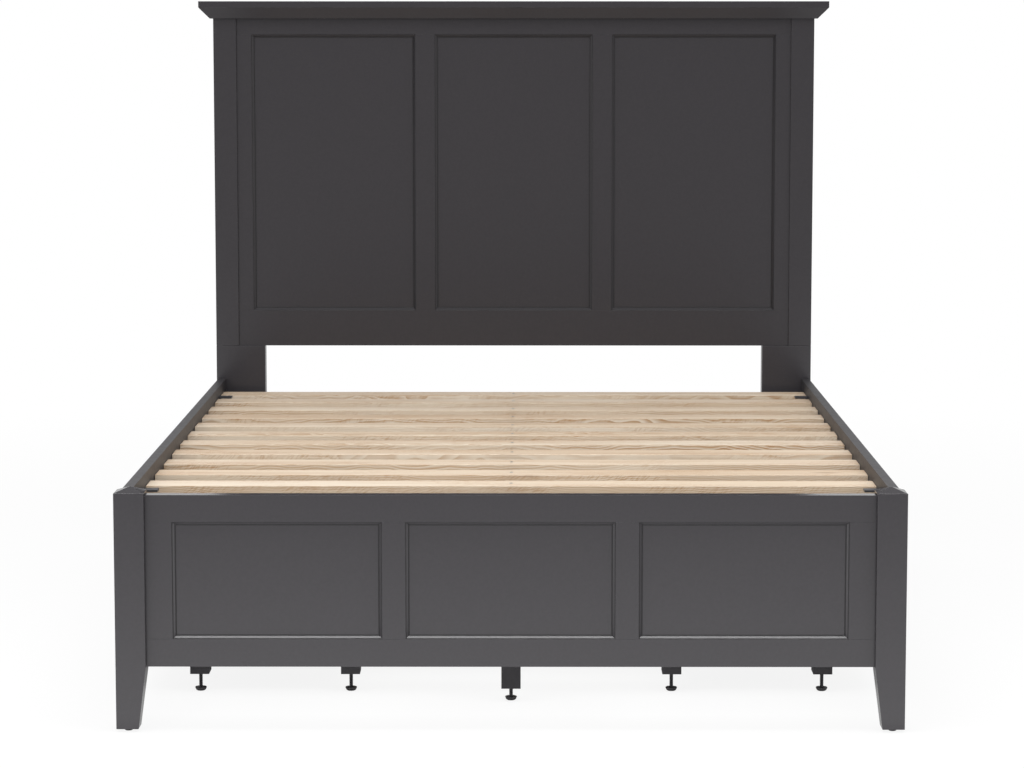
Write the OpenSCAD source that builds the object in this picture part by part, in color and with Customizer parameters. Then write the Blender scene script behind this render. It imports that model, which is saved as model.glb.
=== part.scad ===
// Panelled storage bed with a slatted deck and two drawers in each side.
// X runs across the bed, +Y towards the headboard and +Z up. The origin is on the floor,
// at the middle of the bed's width and length. The headboard and the footboard are frames
// of rails and stiles whose ends are coped over each other's moulded edges, round panels
// that float in their grooves.

/* [Bed] */
// Width over the corner posts
bed_w = 1600; // [1560:5:1680]
// Length over the footboard and the headboard
bed_l = 2183; // [2140:1:2240]
// Thickness of the side rails
rail_t = 20.5; // [18:0.5:26]
// Setback of the side rails from the posts' outer faces
rail_reveal = 4.5; // [2:0.5:8]
// Height of the side rails' and the footboard frame's top edge
rail_top = 484; // [474:1:496]
// Height of the side rails' and the footboard frame's lower edge
rail_bottom = 132; // [122:1:138]

/* [Footboard] */
// Side of the square footboard posts
foot_post = 61; // [56:1:70]
// Side of those posts at the floor, below the taper of their two inner faces
foot_toe = 45.5; // [40:0.5:52]
// Height of the posts' top edges above the side rails
foot_post_rise = 5.5; // [3:0.5:14]
// Rise of the posts' pyramid tops
foot_peak = 11; // [6:1:18]
// Setback of the footboard frame from the front of its posts
foot_setback = 17; // [10:1:24]
// Face height of the footboard's top rail
foot_top_rail = 55; // [48:1:64]
// Face height of the footboard's bottom rail
foot_bottom_rail = 57; // [48:1:66]
// Face width of the footboard's outer stiles
foot_stile = 54; // [44:1:64]
// Face width of the footboard's two middle stiles
foot_mullion = 47.5; // [40:0.5:56]

/* [Headboard] */
// Height of the headboard over its crown
head_h = 1493; // [1400:1:1560]
// Depth of the headboard's posts and legs
head_d = 45; // [42:1:56]
// Width of the headboard's posts
head_post = 61; // [54:1:70]
// Width of the plank legs under those posts
head_leg = 131; // [115:1:145]
// Height of the plank legs, where the panelled frame starts
head_leg_h = 573; // [540:1:610]
// Setback of the headboard frame from the front of its posts
head_setback = 6; // [3:1:12]
// Face height of the headboard's top rail below the crown
head_top_rail = 42; // [36:1:60]
// Face height of the headboard's bottom rail
head_bottom_rail = 95; // [80:1:110]
// Face width of the headboard's outer stiles
head_stile = 40; // [34:1:50]
// Face width of the headboard's two middle stiles
head_mullion = 52; // [44:1:60]
// Width of the headboard's middle panel opening
head_middle = 421; // [400:1:440]
// Height of the plain cross rail between the plank legs
cross_rail_h = 110; // [90:1:130]
// Drop of that cross rail's top below the slats
cross_rail_drop = 10; // [4:1:20]

/* [Crown] */
// Thickness of the cap board
cap_h = 16.5; // [12:0.5:22]
// Overhang of the cap board in front of and beside the posts
crown_over = 35.5; // [24:0.5:45]
// Height of the bevelled moulding under the cap board
moulding_h = 29; // [20:1:36]
// Thickness of the moulding at its lower edge
moulding_step = 8; // [4:1:14]

/* [Frame and panel joints] */
// Thickness of the panelled frames
frame_t = 28; // [25:1:32]
// Thickness of the panels
panel_t = 6; // [4:1:9]
// Width of the moulded edge round a panel
stick_w = 7; // [5:0.5:9]
// Depth from the frame's face to the panel
stick_d = 8; // [6:0.5:10]
// Depth of the small step at the moulded edge's outer line
stick_quirk = 1; // [0.5:0.1:2]
// Depth of the panel groove
groove_d = 10; // [8:0.5:13]
// Room between a panel's edge and its groove's floor
panel_play = 1.5; // [0.5:0.1:2]
// Length of the rails' tenons
tenon_l = 20; // [12:1:26]
// Thickness of those tenons
tenon_t = 10; // [6:1:12]
// Shoulder above and below a tenon
tenon_shoulder = 12; // [6:1:16]
// Room at the end of a tenon
mortise_play = 1; // [0.5:0.5:3]
// Width of a glue line between boards that are glued into one sub-part
glue_line = 0.1; // [0.06:0.02:0.2]

/* [Slatted deck] */
// Number of slats
slat_count = 11; // [9:1:13]
// Width of a slat
slat_w = 80; // [70:1:96]
// Thickness of a slat
slat_t = 19; // [16:1:22]
// Depth of the slats' tops below the side rails
deck_drop = 27.5; // [20:0.5:34]
// Gap between a slat's end and the side rail
slat_end_play = 0.5; // [0.5:0.5:3]
// Distance from the footboard frame to the first slat
deck_inset_foot = 288; // [276:1:300]
// Distance from the headboard frame to the last slat
deck_inset_head = 80; // [70:1:100]
// Width of the ledges that carry the slats
ledge_w = 35; // [28:1:42]
// Height of those ledges
ledge_h = 20; // [16:1:26]
// Width of the centre beam
beam_w = 41; // [36:1:50]
// Height of the centre beam
beam_h = 60; // [50:1:75]
// Distance from the footboard's front to the first centre leg's middle
first_leg_y = 314; // [280:1:340]
// Distance from the headboard's back to the last centre leg's middle
last_leg_y = 298; // [270:1:340]

/* [Drawer carcasses] */
// Length of a carcass, which holds two drawers
carcass_l = 1431; // [1380:1:1480]
// Depth of a carcass behind the side rail
carcass_d = 450; // [440:1:470]
// Thickness of a carcass's end boards
end_t = 16; // [12:1:20]
// Thickness of each of the two dividers between the drawers
divider_t = 20; // [14:1:26]
// Thickness of a carcass's floor and back
sheet_t = 12; // [9:1:14]
// Height of the carcass floor above the rails' lower edge
floor_rise = 20; // [16:1:24]
// Width of the stretchers across a carcass's top
stretcher_w = 60; // [40:1:80]
// Thickness of those stretchers
stretcher_t = 14; // [10:1:16]
// Height of the rail's strip below the drawers
strip_low = 40; // [36:1:48]
// Height of the rail's strip above the drawers
strip_high = 82; // [80:1:92]

/* [Legs and levelling feet] */
// Width of a leg block, across the bed
leg_w = 41; // [36:1:46]
// Length of a leg block, along the bed
leg_l = 50; // [40:1:60]
// Height of the carcass legs' lower end
side_leg_z = 40; // [36:1:46]
// Height of the centre legs' lower end
mid_leg_z = 28.5; // [26:0.5:34]
// Distance from the bed's side to the outer legs' middle
outer_leg_in = 130; // [110:1:150]
// Diameter of a levelling foot's screw
screw_d = 8; // [6:1:10]
// Length of a levelling foot from the floor to its screw's tip
foot_l = 75; // [70:1:84]
// Diameter of a levelling foot's pad
pad_d = 25; // [20:1:30]
// Diameter of the pad's flat underside
pad_base_d = 16; // [12:1:18]
// Height of the pad
pad_h = 8; // [6:0.5:9]
// Thickness of the pad's rim
pad_rim = 2; // [1:0.5:3]
// Radial play of the screw in its leg
screw_play = 0.05; // [0.02:0.01:0.08]
// Depth of the screw hole past the screw's tip
screw_room = 20; // [18:1:24]
// Diameter of the glides under the corner posts
glide_d = 17; // [14:1:22]
// Height of those glides
glide_h = 6; // [4:0.5:8]
// Rounding of the glides' lower edge
glide_edge = 1.5; // [0.5:0.5:3]

/* [Drawers] */
// Gap round a drawer front
front_gap = 3; // [2:0.5:4]
// Height of the finger gap above a drawer front
pull_gap = 16; // [12:1:20]
// Drop of the finger slope behind the front's top edge
pull_slope = 14; // [8:1:20]
// Thickness left at the front's top edge
pull_lip = 7; // [5:1:10]
// Thickness of a drawer box's sides and ends
box_t = 12; // [10:1:15]
// Height of a drawer box
box_h = 180; // [150:1:190]
// Depth of a drawer box behind its front
box_l = 425; // [405:1:427]
// Height of a drawer box above the rail's lower strip
box_lift = 6; // [4:1:10]
// Thickness of a drawer's bottom
bottom_t = 6; // [4:1:8]
// Height of the bottom's groove above the box's lower edge
bottom_up = 10; // [8:1:14]
// Depth of the bottom's groove
bottom_groove = 6; // [4:0.5:7]

/* [Drawer runners] */
// Gap between a drawer box and its carcass, which the runner fills
runner_w = 13; // [12:0.5:15]
// Height of the fixed channel
track_h = 45; // [38:1:50]
// Length of a runner
track_l = 400; // [380:1:402]
// Setback of the runners from the side rail
track_in = 8; // [5:1:16]
// Steel thickness of the runners
steel_t = 1.5; // [1.2:0.1:2]
// Depth of the fixed channel's flanges
flange_w = 9; // [7:0.5:10]
// Depth of the sliding member's flanges
slider_w = 8; // [7:0.5:9]
// Play between the channel and the sliding member
runner_play = 0.3; // [0.2:0.1:0.5]

/* [Steel brackets] */
// Reach of a deck bracket from the side rail
deck_reach = 34; // [28:0.5:40]
// Width of a deck bracket
deck_bracket_w = 30; // [24:1:34]
// Thickness of a deck bracket
deck_bracket_t = 4.5; // [3:0.5:6]
// Height of a deck bracket's top above the slats
deck_bracket_rise = 2; // [1:0.5:6]
// Distance from the footboard's front to the first deck brackets
deck_bracket_y = 260; // [250:1:280]
// Gap between the other two deck brackets and the last slat
deck_bracket_gap = 24; // [16:1:30]
// Thickness of the corner brackets and the beam hangers
plate_t = 3; // [2:0.5:4]
// Height of a corner bracket
corner_h = 180; // [140:1:200]
// Reach of a corner bracket along the rail
corner_l = 60; // [45:1:80]
// Reach of a corner bracket across its post
corner_w = 33; // [28:1:36]
// Length of a beam hanger's seat
hanger_l = 40; // [30:1:60]
// Width of a beam hanger's side wings
hanger_wing = 18; // [12:1:24]

/* [Hidden] */
$fn = 48;
// Places across the bed
side_x = bed_w / 2;
rail_out_x = side_x - rail_reveal;
rail_x = rail_out_x - rail_t;
foot_in_x = side_x - foot_post;
head_in_x = side_x - head_post;
leg_in_x = side_x - head_leg;
// Places along the bed
foot_y = -bed_l / 2;
foot_frame_y = foot_y + foot_setback;
rail_y0 = foot_y + foot_post;
head_back_y = bed_l / 2;
rail_y1 = head_back_y - head_d;
head_frame_y = rail_y1 + head_setback;
// Heights
foot_post_z = rail_top + foot_post_rise;
crown_z = head_h - cap_h;
moulding_z = crown_z - moulding_h;
deck_z = rail_top - deck_drop;
ledge_z = deck_z - slat_t;
beam_z = ledge_z - beam_h;
cross_rail_z = ledge_z - cross_rail_drop;
// Slats
slat_half = rail_x - slat_end_play;
first_slat_y = foot_frame_y + frame_t + deck_inset_foot;
last_slat_y = head_frame_y - deck_inset_head - slat_w;
slat_pitch = (last_slat_y - first_slat_y) / (slat_count - 1);
// Carcasses, described on the right side and mirrored for the left
carcass_x = rail_x - carcass_d;
carcass_y = (rail_y0 + rail_y1 - carcass_l) / 2;
carcass_z = rail_bottom + floor_rise;
carcass_top = ledge_z - ledge_h;
bay_z = [rail_bottom + strip_low, rail_top - strip_high];
bay_l = (carcass_l - 2 * end_t - 2 * divider_t) / 2;
// Legs
side_leg_x = [side_x - outer_leg_in, carcass_x + leg_w / 2];
side_leg_y = [carcass_y + leg_l / 2, carcass_y + carcass_l - leg_l / 2];
mid_leg_ends = [foot_y + first_leg_y, head_back_y - last_leg_y];
mid_leg_y = [mid_leg_ends[0], (mid_leg_ends[0] + mid_leg_ends[1]) / 2, mid_leg_ends[1]];
// Every leg as its middle's x and y and its lower end's height
side_legs = [for (s = [-1, 1]) for (x = side_leg_x) for (y = side_leg_y) [s * x, y, side_leg_z]];
mid_legs = [for (y = mid_leg_y) [0, y, mid_leg_z]];
all_legs = concat(side_legs, mid_legs);

SLATS = [for (i = [1:slat_count]) str("slat_", i < 10 ? "0" : "", i)];
FEET = [for (i = [1:len(all_legs)]) str("levelling_foot_", i < 10 ? "0" : "", i)];
DRAWERS = [1:4];

// A board between two corners, given as a range along each axis
module board(x, y, z) {
    translate([x[0], y[0], z[0]]) cube([x[1] - x[0], y[1] - y[0], z[1] - z[0]]);
}

// The same board, half a glue line short all round, as a member of a glued sub-part
module glued(x, y, z) {
    g = glue_line / 2;
    board([x[0] + g, x[1] - g], [y[0] + g, y[1] - g], [z[0] + g, z[1] - g]);
}

// The children, and their mirror image across the bed's middle
module both_sides() {
    children();
    mirror([1, 0, 0]) children();
}

module on_side(side) {
    mirror([side < 0 ? 1 : 0, 0, 0]) children();
}

module paint() {
    color("#454346") children();
}

module slat_wood() {
    color("#d6c0a4") children();
}

module drawer_wood() {
    color("#cdb38c") children();
}

module black_steel() {
    color("#2c2b2d") children();
}

module zinc() {
    color("#a9abad") children();
}

// One moulded edge of a frame member, from its face to its back: [along the width, depth].
// The face ends at width w. A small step and a bevel lead down to the panel, and the
// panel's groove is cut in behind them.
function moulded_edge(w) = [
    [w, 0],
    [w, stick_quirk],
    [w + stick_w, stick_d],
    [w + stick_w - groove_d, stick_d],
    [w + stick_w - groove_d, stick_d + panel_t],
    [w + stick_w, stick_d + panel_t],
    [w + stick_w, frame_t]
];

function reversed(p) = [for (i = [len(p) - 1:-1:0]) p[i]];
function flipped(p) = [for (q = p) [-q[0], q[1]]];

// A rail or stile with a square outer edge at 0 and a moulded edge beyond width w
module one_edge(w) {
    polygon(concat([[0, frame_t], [0, 0]], moulded_edge(w)));
}

// A stile with moulded edges on both sides of a face of width w, centred on 0
module two_edges(w) {
    polygon(concat(moulded_edge(w / 2), reversed(flipped(moulded_edge(w / 2)))));
}

// A rail of a panelled frame from -half to half. Its square edge is at height z, and its
// moulded edge looks up, or down for a top rail.
module moulded_rail(half, y, z, face, up) {
    translate([-half, y, z]) mirror([0, 0, up ? 0 : 1])
        rotate([90, 0, 90]) linear_extrude(2 * half) mirror([1, -1]) one_edge(face);
}

// The tenons at both ends of a rail between heights z[0] and z[1]
module tenons(half, y, z, play = 0) {
    both_sides() board(
        [half, half + tenon_l + play],
        [y + (frame_t - tenon_t) / 2, y + (frame_t + tenon_t) / 2],
        [z[0] + tenon_shoulder, z[1] - tenon_shoulder]
    );
}

// Four stiles between two rails: the outer ones against the posts, the middle ones at
// +-mid_x. Their blanks run into the rails' grooves and are coped by the rails.
module coped_stiles(half, y, z, outer, mullion, mid_x) {
    reach = groove_d - stick_w;
    difference() {
        both_sides() translate([0, y, z[0] - reach]) {
            translate([half, 0, 0]) mirror([1, 0, 0])
                linear_extrude(z[1] - z[0] + 2 * reach) one_edge(outer);
            translate([mid_x, 0, 0])
                linear_extrude(z[1] - z[0] + 2 * reach) two_edges(mullion);
        }
        children();
    }
}

// A panel that fills the opening between two faces, and its grooves up to their play
module panel(x, y, z) {
    into = groove_d - stick_w - panel_play;
    board(
        [x[0] - into, x[1] + into],
        [y + stick_d, y + stick_d + panel_t],
        [z[0] - into, z[1] + into]
    );
}

// Three panels: the middle one between the middle stiles, and one on either side
module three_panels(half, y, z, outer, mullion, mid_x) {
    panel([-mid_x + mullion / 2, mid_x - mullion / 2], y, z);
    both_sides() panel([mid_x + mullion / 2, half - outer], y, z);
}

// Headboard
head_face_z = [head_leg_h + head_bottom_rail, moulding_z - head_top_rail];
head_mid_x = (head_middle + head_mullion) / 2;
head_rail_zs = [[head_leg_h, head_face_z[0]], [head_face_z[1], crown_z]];

module head_top_rail_body() {
    moulded_rail(head_in_x, head_frame_y, crown_z, crown_z - head_face_z[1], false);
}

module head_bottom_rail_body() {
    moulded_rail(head_in_x, head_frame_y, head_leg_h, head_bottom_rail, true);
}

module headboard_top_rail() {
    paint() union() {
        head_top_rail_body();
        tenons(head_in_x, head_frame_y, head_rail_zs[1]);
    }
}

module headboard_bottom_rail() {
    paint() union() {
        head_bottom_rail_body();
        tenons(head_in_x, head_frame_y, head_rail_zs[0]);
    }
}

module headboard_stiles() {
    paint() coped_stiles(
        head_in_x, head_frame_y, head_face_z, head_stile, head_mullion, head_mid_x
    ) {
        head_top_rail_body();
        head_bottom_rail_body();
    }
}

module headboard_panels() {
    paint() three_panels(
        head_in_x, head_frame_y, head_face_z, head_stile, head_mullion, head_mid_x
    );
}

module headboard_post(side) {
    paint() on_side(side) difference() {
        board([head_in_x, side_x], [rail_y1, head_back_y], [head_leg_h, crown_z]);
        for (z = head_rail_zs) tenons(head_in_x, head_frame_y, z, mortise_play);
    }
}

cross_rail_zs = [cross_rail_z - cross_rail_h, cross_rail_z];

module headboard_legs() {
    paint() both_sides() difference() {
        board([leg_in_x, side_x], [rail_y1, head_back_y], [glide_h, head_leg_h]);
        tenons(leg_in_x, head_frame_y, cross_rail_zs, mortise_play);
    }
}

module headboard_cross_rail() {
    paint() union() {
        board([-leg_in_x, leg_in_x], [head_frame_y, head_frame_y + frame_t], cross_rail_zs);
        tenons(leg_in_x, head_frame_y, cross_rail_zs);
    }
}

module crown_cap() {
    paint() board(
        [-side_x - crown_over, side_x + crown_over],
        [rail_y1 - crown_over, head_back_y],
        [crown_z, head_h]
    );
}

// The moulding slopes out from its lower step to the cap board's edge, along the front
// and back along both sides. Its three lengths meet in mitres at the corners.
module crown_slope() {
    over = crown_over;
    intersection() {
        translate([0, head_back_y, moulding_z]) rotate([90, 0, 0]) linear_extrude(head_d + over)
            polygon([
                [-side_x - moulding_step, 0], [side_x + moulding_step, 0],
                [side_x + over, moulding_h], [-side_x - over, moulding_h]
            ]);
        translate([-side_x - over, rail_y1, moulding_z]) rotate([90, 0, 90])
            linear_extrude(2 * (side_x + over))
            polygon([[-moulding_step, 0], [head_d, 0], [head_d, moulding_h], [-over, moulding_h]]);
    }
}

module crown_moulding() {
    front = rail_y1 - crown_over;
    edge = side_x + crown_over;
    back = [rail_y1 + glue_line, front + glue_line];
    across = [[-edge, front], [edge, front], [side_x, rail_y1], [-side_x, rail_y1]];
    along = [[side_x, back[0]], [edge, back[1]], [edge, head_back_y], [side_x, head_back_y]];
    paint() {
        intersection() {
            crown_slope();
            translate([0, 0, moulding_z]) linear_extrude(moulding_h) polygon(across);
        }
        both_sides() intersection() {
            crown_slope();
            translate([0, 0, moulding_z]) linear_extrude(moulding_h) polygon(along);
        }
    }
}

// Footboard
foot_face_z = [rail_bottom + foot_bottom_rail, rail_top - foot_top_rail];
foot_opening = (2 * (foot_in_x - foot_stile - foot_mullion)) / 3;
foot_mid_x = (foot_opening + foot_mullion) / 2;
foot_rail_zs = [[rail_bottom, foot_face_z[0]], [foot_face_z[1], rail_top]];

module foot_top_rail_body() {
    moulded_rail(foot_in_x, foot_frame_y, rail_top, foot_top_rail, false);
}

module foot_bottom_rail_body() {
    moulded_rail(foot_in_x, foot_frame_y, rail_bottom, foot_bottom_rail, true);
}

module footboard_top_rail() {
    paint() union() {
        foot_top_rail_body();
        tenons(foot_in_x, foot_frame_y, foot_rail_zs[1]);
    }
}

module footboard_bottom_rail() {
    paint() union() {
        foot_bottom_rail_body();
        tenons(foot_in_x, foot_frame_y, foot_rail_zs[0]);
    }
}

module footboard_stiles() {
    paint() coped_stiles(
        foot_in_x, foot_frame_y, foot_face_z, foot_stile, foot_mullion, foot_mid_x
    ) {
        foot_top_rail_body();
        foot_bottom_rail_body();
    }
}

module footboard_panels() {
    paint() three_panels(
        foot_in_x, foot_frame_y, foot_face_z, foot_stile, foot_mullion, foot_mid_x
    );
}

// A post seen from one side, with its outer face at 0: the inner face tapers below the
// rails, and the top rises to a point over the post's middle.
module post_outline() {
    polygon([
        [0, glide_h], [foot_toe, glide_h], [foot_post, rail_bottom],
        [foot_post, foot_post_z], [foot_post / 2, foot_post_z + foot_peak], [0, foot_post_z]
    ]);
}

module footboard_post(side) {
    paint() on_side(side) difference() {
        intersection() {
            translate([side_x, foot_y + foot_post, 0]) rotate([90, 0, 0])
                linear_extrude(foot_post) mirror([1, 0]) post_outline();
            translate([foot_in_x, foot_y, 0]) rotate([90, 0, 90])
                linear_extrude(foot_post) post_outline();
        }
        for (z = foot_rail_zs) tenons(foot_in_x, foot_frame_y, z, mortise_play);
    }
}

// Glides: one centred under each tapered post, two under each plank leg
module glide(x, y) {
    r = glide_d / 2;
    translate([x, y, 0]) rotate_extrude() polygon([
        [0, 0], [r - glide_edge, 0], [r, glide_edge], [r, glide_h], [0, glide_h]
    ]);
}

module corner_glides() {
    black_steel() both_sides() {
        glide(side_x - foot_toe / 2, foot_y + foot_toe / 2);
        for (x = [leg_in_x + head_leg / 4, side_x - head_leg / 4]) glide(x, head_back_y - head_d / 2);
    }
}

// The range along the bed of a drawer bay: row 0 at the foot end, row 1 at the head end
function bay_y(row) =
    let (y = carcass_y + end_t + row * (bay_l + 2 * divider_t)) [y, y + bay_l];

// A side rail is a face frame: strips above and below the drawers, and upright boards
module side_rail(side) {
    x = [rail_x, rail_out_x];
    paint() on_side(side) {
        glued(x, [rail_y0, rail_y1], [bay_z[1], rail_top]);
        glued(x, [rail_y0, rail_y1], [rail_bottom, bay_z[0]]);
        glued(x, [rail_y0, bay_y(0)[0]], bay_z);
        glued(x, [bay_y(0)[1], bay_y(1)[0]], bay_z);
        glued(x, [bay_y(1)[1], rail_y1], bay_z);
    }
}

module slat_ledges() {
    paint() both_sides()
        board([rail_x - ledge_w, rail_x], [rail_y0, rail_y1], [ledge_z - ledge_h, ledge_z]);
}

module slat(i) {
    y = first_slat_y + (i - 1) * slat_pitch;
    slat_wood() board([-slat_half, slat_half], [y, y + slat_w], [ledge_z, deck_z]);
}

module center_beam() {
    paint() board(
        [-beam_w / 2, beam_w / 2], [foot_frame_y + frame_t, head_frame_y], [beam_z, ledge_z]
    );
}

// A leg block from its lower end up to a height, bored for the levelling foot's screw
module leg(place, top) {
    translate([place[0], place[1], 0]) difference() {
        board([-leg_w / 2, leg_w / 2], [-leg_l / 2, leg_l / 2], [place[2], top - glue_line]);
        cylinder(h = foot_l + screw_room, d = screw_d + 2 * screw_play);
    }
}

module center_legs() {
    paint() for (place = mid_legs) leg(place, beam_z);
}

// A carcass: end boards, two dividers, a floor, a back, top stretchers and four legs
module carcass(side) {
    x = [carcass_x, rail_x];
    ends = [carcass_y, carcass_y + carcass_l];
    inner = [ends[0] + end_t, ends[1] - end_t];
    middle = (ends[0] + ends[1]) / 2;
    z = [carcass_z, carcass_top];
    back_x = [carcass_x, carcass_x + sheet_t];
    bay_x = [back_x[1], rail_x];
    tops_z = [carcass_top - stretcher_t, carcass_top];
    paint() on_side(side) {
        glued(x, [ends[0], inner[0]], z);
        glued(x, [inner[1], ends[1]], z);
        glued(back_x, inner, z);
        glued(bay_x, inner, [carcass_z, carcass_z + sheet_t]);
        for (s = [-1, 1]) {
            far = middle + s * divider_t;
            glued(
                bay_x, [min(middle, far), max(middle, far)],
                [carcass_z + sheet_t, tops_z[0]]
            );
        }
        glued([back_x[1], back_x[1] + stretcher_w], inner, tops_z);
        glued([rail_x - stretcher_w, rail_x], inner, tops_z);
        for (px = side_leg_x, py = side_leg_y) leg([px, py, side_leg_z], carcass_z);
    }
}

// Drawers 1 and 2 are on the left, 3 and 4 on the right, each pair from foot to head
function drawer_side(i) = i < 3 ? -1 : 1;
function drawer_row(i) = (i - 1) % 2;
function box_y(row) = [bay_y(row)[0] + runner_w, bay_y(row)[1] - runner_w];
box_z = [bay_z[0] + box_lift, bay_z[0] + box_lift + box_h];
box_x = [rail_x - box_l, rail_x];
track_z = (box_z[0] + box_z[1]) / 2;
track_x = [rail_x - track_in - track_l, rail_x - track_in];

// The front's top edge is undercut behind, so that fingers can pull it from above
module drawer_front(i) {
    y = bay_y(drawer_row(i));
    z = [bay_z[0] + front_gap, bay_z[1] - pull_gap];
    paint() on_side(drawer_side(i))
        translate([0, y[1] - front_gap, 0]) rotate([90, 0, 0])
        linear_extrude(y[1] - y[0] - 2 * front_gap) polygon([
            [rail_x, z[0]], [rail_out_x, z[0]], [rail_out_x, z[1]],
            [rail_out_x - pull_lip, z[1]], [rail_x, z[1] - pull_slope]
        ]);
}

// Sides over the full depth, ends between them, and a bottom held in grooves all round
module drawer_box(i) {
    y = box_y(drawer_row(i));
    in_y = [y[0] + box_t, y[1] - box_t];
    in_x = [box_x[0] + box_t, box_x[1] - box_t];
    base_z = [box_z[0] + bottom_up, box_z[0] + bottom_up + bottom_t];
    base_x = [in_x[0] - bottom_groove, in_x[1] + bottom_groove];
    base_y = [in_y[0] - bottom_groove, in_y[1] + bottom_groove];
    drawer_wood() on_side(drawer_side(i)) {
        for (side_y = [[y[0], in_y[0]], [in_y[1], y[1]]]) difference() {
            glued(box_x, side_y, box_z);
            board(base_x, base_y, base_z);
        }
        for (end_x = [[box_x[0], in_x[0]], [in_x[1], box_x[1]]]) difference() {
            glued(end_x, in_y, box_z);
            board(base_x, base_y, base_z);
        }
        glued(base_x, base_y, base_z);
    }
}

// The fixed channel's section: its back on the carcass at 0, open towards the drawer
module track_section() {
    h = track_h / 2;
    polygon([
        [0, -h], [flange_w, -h], [flange_w, -h + steel_t], [steel_t, -h + steel_t],
        [steel_t, h - steel_t], [flange_w, h - steel_t], [flange_w, h], [0, h]
    ]);
}

// The sliding member's section: its back on the drawer box, its flanges in the channel
module slider_section() {
    h = track_h / 2 - steel_t - runner_play;
    in = runner_w - slider_w;
    back = runner_w - steel_t;
    polygon([
        [in, -h], [runner_w, -h], [runner_w, h], [in, h],
        [in, h - steel_t], [back, h - steel_t], [back, -h + steel_t], [in, -h + steel_t]
    ]);
}

// Sections drawn on both walls of a bay and run along the drawer's travel
module along_bay(row) {
    for (wall = [0, 1]) translate([track_x[0], bay_y(row)[wall], track_z])
        mirror([0, wall, 0]) rotate([90, 0, 90]) linear_extrude(track_l) children();
}

module runner_tracks() {
    zinc() both_sides() for (row = [0, 1]) along_bay(row) track_section();
}

module drawer_runners(i) {
    zinc() on_side(drawer_side(i)) along_bay(drawer_row(i)) slider_section();
}

// A levelling foot: a rounded pad that stands on the floor, and its screw
module levelling_foot(i) {
    place = all_legs[i - 1];
    r = pad_d / 2;
    rim = pad_h - pad_rim;
    screw_r = screw_d / 2;
    black_steel() translate([place[0], place[1], 0]) rotate_extrude() polygon([
        [0, 0], [pad_base_d / 2, 0], [(r + pad_base_d / 2) / 2, rim / 4], [r, rim],
        [r, pad_h - pad_rim / 2], [r - pad_rim / 2, pad_h], [screw_r, pad_h],
        [screw_r, foot_l - 1], [screw_r - 1, foot_l], [0, foot_l]
    ]);
}

// A deck bracket stands on the ledge against the rail and reaches over the deck's edge
module deck_bracket(y) {
    top = deck_z + deck_bracket_rise;
    translate([rail_x, y + deck_bracket_w, 0]) rotate([90, 0, 0]) linear_extrude(deck_bracket_w)
        polygon([
            [0, ledge_z], [0, top], [-deck_reach, top], [-deck_reach, top - deck_bracket_t],
            [-deck_bracket_t, top - deck_bracket_t], [-deck_bracket_t, ledge_z]
        ]);
}

// A corner bracket joins the rail's inner face to the post; dir is its way along the rail
module corner_bracket(y, dir) {
    low = (bay_z[0] + bay_z[1] - corner_h) / 2;
    translate([rail_x, y, low]) mirror([0, dir < 0 ? 1 : 0, 0]) linear_extrude(corner_h)
        polygon([
            [0, 0], [0, corner_l], [-plate_t, corner_l],
            [-plate_t, plate_t], [-corner_w, plate_t], [-corner_w, 0]
        ]);
}

// A hanger carries one end of the centre beam: a seat with cheeks, and wings on the frame
module beam_hanger(y, dir) {
    half = beam_w / 2;
    wall = half + plate_t;
    cheek = ledge_z;
    translate([0, y, 0]) mirror([0, dir < 0 ? 1 : 0, 0]) {
        rotate([90, 0, 0]) mirror([0, 0, 1]) linear_extrude(hanger_l) polygon([
            [-wall, beam_z - plate_t], [wall, beam_z - plate_t], [wall, cheek], [half, cheek],
            [half, beam_z], [-half, beam_z], [-half, cheek], [-wall, cheek]
        ]);
        both_sides() board(
            [wall, wall + hanger_wing], [0, plate_t], [beam_z - plate_t, cheek]
        );
    }
}

module steel_brackets() {
    black_steel() {
        both_sides() {
            deck_bracket(foot_y + deck_bracket_y);
            deck_bracket(last_slat_y - deck_bracket_gap - deck_bracket_w);
            corner_bracket(rail_y0, 1);
            corner_bracket(rail_y1, -1);
        }
        beam_hanger(foot_frame_y + frame_t, 1);
        beam_hanger(head_frame_y, -1);
    }
}

crown_cap();
crown_moulding();
headboard_post(-1);  // headboard_post_left
headboard_post(1);  // headboard_post_right
headboard_legs();
headboard_top_rail();
headboard_bottom_rail();
headboard_stiles();
headboard_panels();
headboard_cross_rail();
footboard_post(-1);  // footboard_post_left
footboard_post(1);  // footboard_post_right
footboard_top_rail();
footboard_bottom_rail();
footboard_stiles();
footboard_panels();
corner_glides();
side_rail(-1);  // side_rail_left
side_rail(1);  // side_rail_right
slat_ledges();
center_beam();
center_legs();
steel_brackets();
carcass(-1);  // carcass_left
carcass(1);  // carcass_right
runner_tracks();
for (i = [1:slat_count]) {
    slat(i);
}
for (i = DRAWERS) {
    drawer_front(i);
    drawer_box(i);
    drawer_runners(i);
}
for (i = [1:len(all_legs)]) {
    levelling_foot(i);
}
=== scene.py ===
"""Looks of the panelled storage bed: its finishes, small fasteners, studio and camera.

All lengths are in metres, in the part's own frame: X across the bed, +Y towards the
headboard, +Z up, with the origin on the floor under the middle of the bed.
"""
import math

import bmesh
import bpy
from mathutils import Matrix, Vector


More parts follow.
